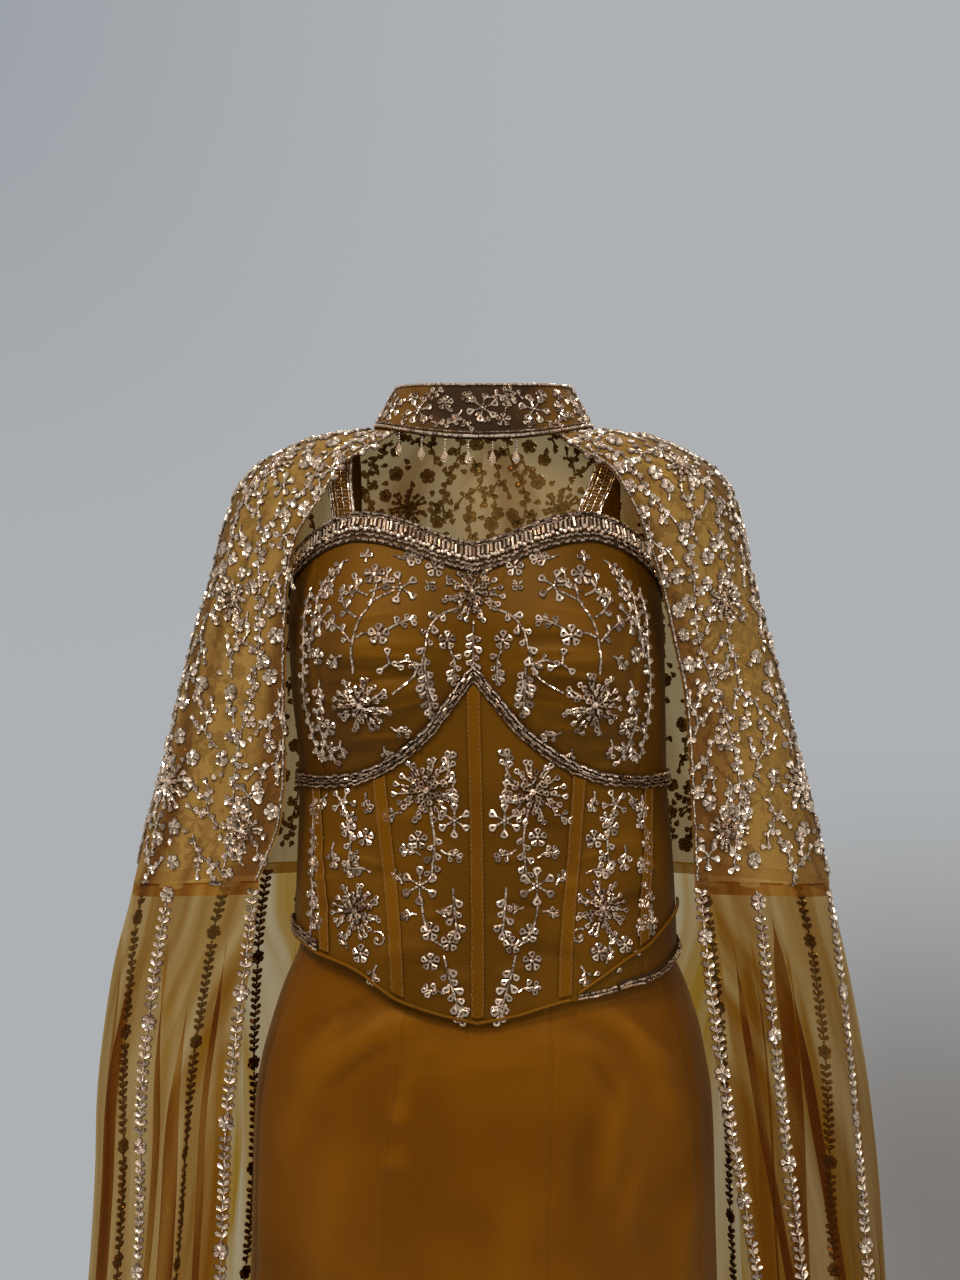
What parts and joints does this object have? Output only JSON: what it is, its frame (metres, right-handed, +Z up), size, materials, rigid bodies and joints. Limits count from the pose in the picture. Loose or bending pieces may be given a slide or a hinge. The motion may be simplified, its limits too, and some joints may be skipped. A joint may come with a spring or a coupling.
{
  "type": "cape gown",
  "caption": "Boned corset gown with a sweetheart neckline, a panelled satin skirt and a sheer floor-length cape on a stand collar, all richly beaded.",
  "frame": {"origin": "at the base of the wearer's neck, midway between the shoulders, where the collar and the shoulders hold the gown", "axes": "+Z up, the front faces -Y, +X is the wearer's left"},
  "size_m": [0.8132, 0.6005, 1.4842],
  "materials": {
    "corset_satin": "ochre-brown satin, beaded by hand",
    "skirt_satin": "mustard-gold satin",
    "ribbon": "satin ribbon over bones and cord",
    "tulle": "sheer fine net, beaded by hand",
    "collar_cloth": "dark brown net over a firm band, beaded",
    "beadwork": "rows of bugle beads, pearls and cut-glass stones on cloth",
    "glass_drops": "cut glass drops"
  },
  "bodies": {
    "root": {"cup_left": "corset_satin", "cup_right": "corset_satin", "cup_side_left": "corset_satin", "cup_side_right": "corset_satin", "corset_front_left": "corset_satin", "corset_front_right": "corset_satin", "corset_side_front_left": "corset_satin", "corset_side_front_right": "corset_satin", "corset_side_left": "corset_satin", "corset_side_right": "corset_satin", "bodice_side_back_left": "corset_satin", "bodice_side_back_right": "corset_satin", "bodice_back_left": "corset_satin", "bodice_back_right": "corset_satin", "bone_centre": "ribbon", "bone_middle_left": "ribbon", "bone_middle_right": "ribbon", "bone_outer_left": "ribbon", "bone_outer_right": "ribbon", "bone_back_left": "ribbon", "bone_back_right": "ribbon", "neckline_band_front": "beadwork", "neckline_band_back": "beadwork", "underbust_band": "beadwork", "hem_band_left": "beadwork", "hem_band_right": "beadwork", "hem_piping": "ribbon", "left_piping": "ribbon", "strap_left": "beadwork", "strap_right": "beadwork", "skirt_front": "skirt_satin", "skirt_side_front_left": "skirt_satin", "skirt_back_left": "skirt_satin", "skirt_back_right": "skirt_satin", "skirt_side_front_right": "skirt_satin", "cape_yoke_left": "tulle", "cape_yoke_right": "tulle", "cape_drape_front_left": "tulle", "cape_drape_back_left": "tulle", "cape_drape_back_right": "tulle", "cape_drape_front_right": "tulle", "collar": "collar_cloth", "collar_drops": "glass_drops"}
  },
  "joints": []
}
